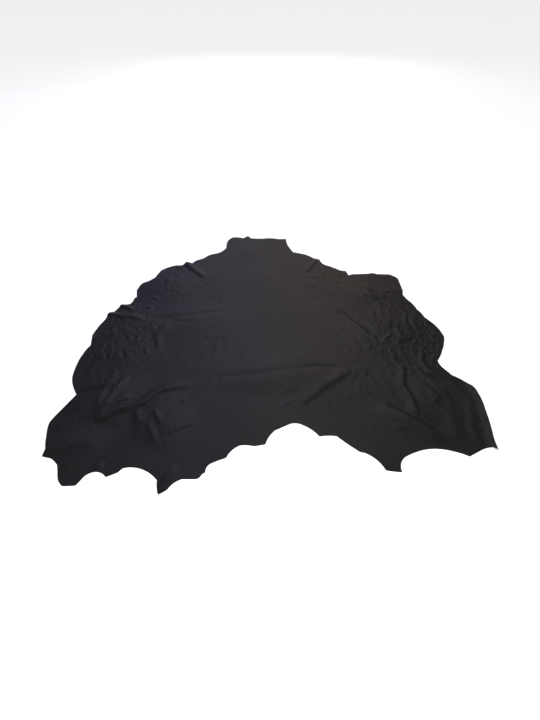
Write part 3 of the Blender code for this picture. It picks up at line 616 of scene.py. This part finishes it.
def make_hide(materials):
    """The sheet as one closed mesh: the flesh side at its height over the floor, the grain side THICKNESS
    along the normal above it, and the cut edge between them round the outline. It keeps how loose the grain
    of the two flanks is as an attribute."""
    plan = hide_grid()
    rows, columns = plan.shape[:2]
    flesh = np.column_stack((plan.reshape(-1, 2), height_at(plan.reshape(-1, 2))))
    top = cell_triangles(plan)
    grain = flesh + THICKNESS * upright(flesh, top)
    draw = np.random.default_rng(SEED + 1)
    crowding = sum(crowd_share(plan.reshape(-1, 2), crowd, draw) for crowd in CROWDS[:2])
    count = rows * columns
    bottom = top[:, ::-1] + count
    number = np.arange(count).reshape(rows, columns)
    ring = np.concatenate((number[0, :-1], number[:-1, -1], number[-1, :0:-1], number[:0:-1, 0]))
    following = np.roll(ring, -1)
    rim = np.concatenate((np.column_stack((ring + count, following + count, following)),
                          np.column_stack((ring + count, following, ring))))
    faces = np.concatenate((top, bottom, rim))
    mesh = bpy.data.meshes.new("leather_hide")
    mesh.from_pydata(np.concatenate((grain, flesh)), [], faces)
    for material in materials:
        mesh.materials.append(material)
    kinds = np.repeat((0, 1, 2), (len(top), len(bottom), len(rim)))
    mesh.polygons.foreach_set("material_index", kinds.astype(np.int32))
    loose = mesh.attributes.new("loose_grain", "FLOAT", "POINT")
    loose.data.foreach_set("value", np.tile(crowding, 2).astype(np.float32))
    mesh.shade_smooth()
    mesh.set_sharp_from_angle(angle=math.radians(SHARP_ANGLE))
    hide = bpy.data.objects.new("leather_hide", mesh)
    bpy.context.scene.collection.objects.link(hide)
    return hide


def linear(colour):
    """An sRGB hex colour as linear red, green, blue and a full alpha."""
    channels = [int(colour[at:at + 2], 16) / 255.0 for at in (1, 3, 5)]
    return (*(c / 12.92 if c <= 0.04045 else ((c + 0.055) / 1.055) ** 2.4 for c in channels), 1.0)


def node(tree, kind, sockets=(), **settings):
    """Adds a node. settings are its own properties, and sockets its inputs, each a value or a socket to
    link."""
    made = tree.nodes.new(kind)
    for name, value in settings.items():
        setattr(made, name, value)
    for name, value in dict(sockets).items():
        if isinstance(value, bpy.types.NodeSocket):
            tree.links.new(value, made.inputs[name])
        else:
            made.inputs[name].default_value = value
    return made


def blank_material(name):
    """An empty material, with its Principled shader joined to the output."""
    material = bpy.data.materials.new(name)
    material.use_nodes = True
    tree = material.node_tree
    return material, tree, tree.nodes["Principled BSDF"]


def grain_leather():
    """Chrome-tanned cattle leather, its grain side dyed through and sprayed with a thin black pigment
    finish. It is nearly black, with a low soft gloss that breaks up over the pebbled grain."""
    material, tree, surface = blank_material("black_pigmented_grain_leather")
    place = node(tree, "ShaderNodeTexCoord").outputs["Object"]
    cloud = node(tree, "ShaderNodeTexNoise", {"Vector": place, "Scale": 1 / CLOUD, "Detail": 4.0,
                                              "Roughness": 0.6})
    fine = node(tree, "ShaderNodeTexNoise", {"Vector": place, "Scale": 1 / BREAK, "Detail": 3.0,
                                             "Roughness": 0.6})
    blend = node(tree, "ShaderNodeMath", {0: cloud.outputs["Fac"], 1: 0.7}, operation="MULTIPLY")
    both = node(tree, "ShaderNodeMath", {0: fine.outputs["Fac"], 1: 0.3, 2: blend.outputs[0]},
                operation="MULTIPLY_ADD")
    share = node(tree, "ShaderNodeMapRange", {"Value": both.outputs[0], "From Min": 0.36,
                                              "From Max": 0.64})
    tone = node(tree, "ShaderNodeMix", {"Factor": share.outputs["Result"], "A": linear("#0c0c0e"),
                                        "B": linear("#121214")}, data_type="RGBA")
    tree.links.new(tone.outputs["Result"], surface.inputs["Base Color"])
    gloss = node(tree, "ShaderNodeMapRange", {"Value": fine.outputs["Fac"], "From Min": 0.3,
                                              "From Max": 0.7, "To Min": 0.44, "To Max": 0.54})
    tree.links.new(gloss.outputs["Result"], surface.inputs["Roughness"])
    surface.inputs["IOR"].default_value = 1.48
    pebbles = node(tree, "ShaderNodeTexVoronoi", {"Vector": place, "Scale": 1 / PEBBLE,
                                                  "Randomness": 1.0}, feature="SMOOTH_F1")
    pores = node(tree, "ShaderNodeTexNoise", {"Vector": place, "Scale": 1 / PORE, "Detail": 2.0})
    wrinkles = node(tree, "ShaderNodeTexNoise", {"Vector": place, "Scale": 1 / BREAK, "Detail": 2.0,
                                                 "Roughness": 0.5, "Distortion": 0.5})
    loose = node(tree, "ShaderNodeAttribute", attribute_name="loose_grain").outputs["Fac"]
    depth = node(tree, "ShaderNodeMapRange", {"Value": loose, "To Min": 0.12, "To Max": 1.0})
    centred = node(tree, "ShaderNodeMath", {0: wrinkles.outputs["Fac"], 1: 0.5},
                   operation="SUBTRACT")
    valley = node(tree, "ShaderNodeMath", {0: centred.outputs[0]}, operation="ABSOLUTE")
    crease = node(tree, "ShaderNodeMath", {0: valley.outputs[0], 1: depth.outputs["Result"]},
                  operation="MULTIPLY")
    broad = node(tree, "ShaderNodeBump", {"Height": crease.outputs[0], "Strength": 1.0,
                                          "Distance": BREAK_DEPTH})
    pebbled = node(tree, "ShaderNodeBump", {"Height": pebbles.outputs["Distance"], "Strength": 1.0,
                                            "Distance": PEBBLE_DEPTH,
                                            "Normal": broad.outputs["Normal"]}, invert=True)
    pored = node(tree, "ShaderNodeBump", {"Height": pores.outputs["Fac"], "Strength": 1.0,
                                          "Distance": PORE_DEPTH,
                                          "Normal": pebbled.outputs["Normal"]})
    tree.links.new(pored.outputs["Normal"], surface.inputs["Normal"])
    return material


def flesh_leather():
    """The flesh side, shaved and buffed to a short suede nap and dyed through. It is a dull charcoal with a
    faint sheen from its fibre ends."""
    material, tree, surface = blank_material("black_dyed_suede_flesh_side")
    place = node(tree, "ShaderNodeTexCoord").outputs["Object"]
    nap = node(tree, "ShaderNodeTexNoise", {"Vector": place, "Scale": 1 / NAP, "Detail": 6.0,
                                            "Roughness": 0.7})
    tone = node(tree, "ShaderNodeMix", {"Factor": nap.outputs["Fac"], "A": linear("#252427"),
                                        "B": linear("#3b393c")}, data_type="RGBA")
    tree.links.new(tone.outputs["Result"], surface.inputs["Base Color"])
    surface.inputs["Roughness"].default_value = 0.95
    surface.inputs["Sheen Weight"].default_value = 0.25
    surface.inputs["Sheen Roughness"].default_value = 0.5
    fibres = node(tree, "ShaderNodeBump", {"Height": nap.outputs["Fac"], "Strength": 1.0,
                                           "Distance": NAP_DEPTH})
    tree.links.new(fibres.outputs["Normal"], surface.inputs["Normal"])
    return material


def cut_edge():
    """The knife-cut edge, dyed through but not sealed. Its layered fibres show a little lighter and quite
    dull."""
    material, tree, surface = blank_material("black_raw_cut_leather_edge")
    place = node(tree, "ShaderNodeTexCoord").outputs["Object"]
    layers = node(tree, "ShaderNodeMapping", {"Vector": place, "Scale": FIBRES})
    fibre = node(tree, "ShaderNodeTexNoise", {"Vector": layers.outputs["Vector"], "Scale": 1.0,
                                              "Detail": 4.0})
    tone = node(tree, "ShaderNodeMix", {"Factor": fibre.outputs["Fac"], "A": linear("#1f1e20"),
                                        "B": linear("#39373a")}, data_type="RGBA")
    tree.links.new(tone.outputs["Result"], surface.inputs["Base Color"])
    surface.inputs["Roughness"].default_value = 0.85
    rough = node(tree, "ShaderNodeBump", {"Height": fibre.outputs["Fac"], "Strength": 1.0,
                                          "Distance": FIBRE_DEPTH})
    tree.links.new(rough.outputs["Normal"], surface.inputs["Normal"])
    return material


def make_floor():
    """A flat white floor, wide enough to reach past the picture on every side."""
    material, _, surface = blank_material("matt_white_floor")
    surface.inputs["Base Color"].default_value = linear("#f2f2f2")
    surface.inputs["Roughness"].default_value = 0.9
    surface.inputs["Specular IOR Level"].default_value = 0.1
    mesh = bpy.data.meshes.new("floor")
    corners = [(x * FLOOR_HALF, y * FLOOR_HALF, 0.0) for x, y in ((-1, -1), (1, -1), (1, 1), (-1, 1))]
    mesh.from_pydata(corners, [], [(0, 1, 2, 3)])
    mesh.materials.append(material)
    floor = bpy.data.objects.new("floor", mesh)
    bpy.context.scene.collection.objects.link(floor)


# Soft lights: where each stands, the point that it faces, its width and height, its power, whether the
# gloss shows it, and its colour.
Lamp = namedtuple("Lamp", "name place aim width height watts gloss colour")

LAMPS = (
    Lamp("soft box, left half", (-0.75, 5.2, 3.9), (0.0, 0.0, 0.6), 1.5, 7.4, 34.0, True, "#d4dfff"),
    Lamp("soft box, right half", (0.85, 5.2, 3.9), (0.0, 0.0, 0.6), 1.7, 7.4, 38.0, True, "#ffdfc6"),
    Lamp("wall, left", (-2.5, 4.7, 2.6), (-0.5, 0.0, 0.6), 1.8, 4.6, 7.0, True, "#7f92ff"),
    Lamp("soft box, upper", (0.1, 4.0, 6.2), (0.0, -0.7, 0.0), 2.8, 2.0, 11.0, True, "#f2f2ff"),
    Lamp("fill, near side", (0.0, -1.6, 2.0), (0.0, -0.8, 0.0), 1.2, 0.7, 36.0, False, "#fafaff"),
    Lamp("low, near side", (0.0, -6.0, 1.3), (0.0, 0.0, 0.3), 7.0, 2.0, 28.0, True, "#ffffff"),
    Lamp("low, left", (-6.0, -0.5, 1.3), (0.0, 0.0, 0.3), 7.0, 2.0, 13.0, True, "#ffffff"),
    Lamp("low, right", (6.0, -0.5, 1.3), (0.0, 0.0, 0.3), 7.0, 2.0, 13.0, True, "#ffffff"),
)


def make_lights():
    """A broad overhead light that whitens the floor, and soft lamps that the leather's gloss picks up."""
    scene = bpy.context.scene
    for lamp in LAMPS:
        light = bpy.data.lights.new(lamp.name, "AREA")
        light.shape = "RECTANGLE"
        light.size = lamp.width
        light.size_y = lamp.height
        light.energy = lamp.watts
        light.color = linear(lamp.colour)[:3]
        holder = bpy.data.objects.new(lamp.name, light)
        holder.location = lamp.place
        towards = Vector(lamp.aim) - Vector(lamp.place)
        holder.rotation_euler = towards.to_track_quat("-Z", "Y").to_euler()
        holder.visible_camera = False
        holder.visible_glossy = lamp.gloss
        scene.collection.objects.link(holder)
    overhead = bpy.data.lights.new("overhead", "SUN")
    overhead.energy = OVERHEAD_STRENGTH
    overhead.angle = math.radians(OVERHEAD_SPREAD)
    holder = bpy.data.objects.new("overhead", overhead)
    holder.rotation_euler = (math.radians(OVERHEAD_TILT[0]), math.radians(OVERHEAD_TILT[1]), 0.0)
    holder.visible_glossy = False
    scene.collection.objects.link(holder)
    world = bpy.data.worlds.new("studio")
    world.use_nodes = True
    tree = world.node_tree
    room = tree.nodes["Background"]
    room.inputs["Color"].default_value = linear("#f4f4f6")
    seen = node(tree, "ShaderNodeLightPath").outputs["Is Camera Ray"]
    level = node(tree, "ShaderNodeMapRange", {"Value": seen, "To Min": ROOM_LIGHT, "To Max": ROOM_SEEN})
    tree.links.new(level.outputs["Result"], room.inputs["Strength"])
    scene.world = world


def make_camera():
    """The photograph's view: 2.03 m up and 2.70 m before the hide's middle, looking 40 degrees down, with a
    28 mm lens."""
    data = bpy.data.cameras.new("camera")
    data.lens = LENS
    data.sensor_width = FILM_WIDTH
    camera = bpy.data.objects.new("camera", data)
    camera.location = CAMERA_PLACE
    camera.rotation_euler = (math.radians(CAMERA_TURN), 0.0, 0.0)
    bpy.context.scene.collection.objects.link(camera)
    bpy.context.scene.camera = camera


hide = make_hide((grain_leather(), flesh_leather(), cut_edge()))
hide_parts("hide")
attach(hide, "root")
make_floor()
make_lights()
make_camera()
bpy.context.scene.view_settings.view_transform = "Standard"
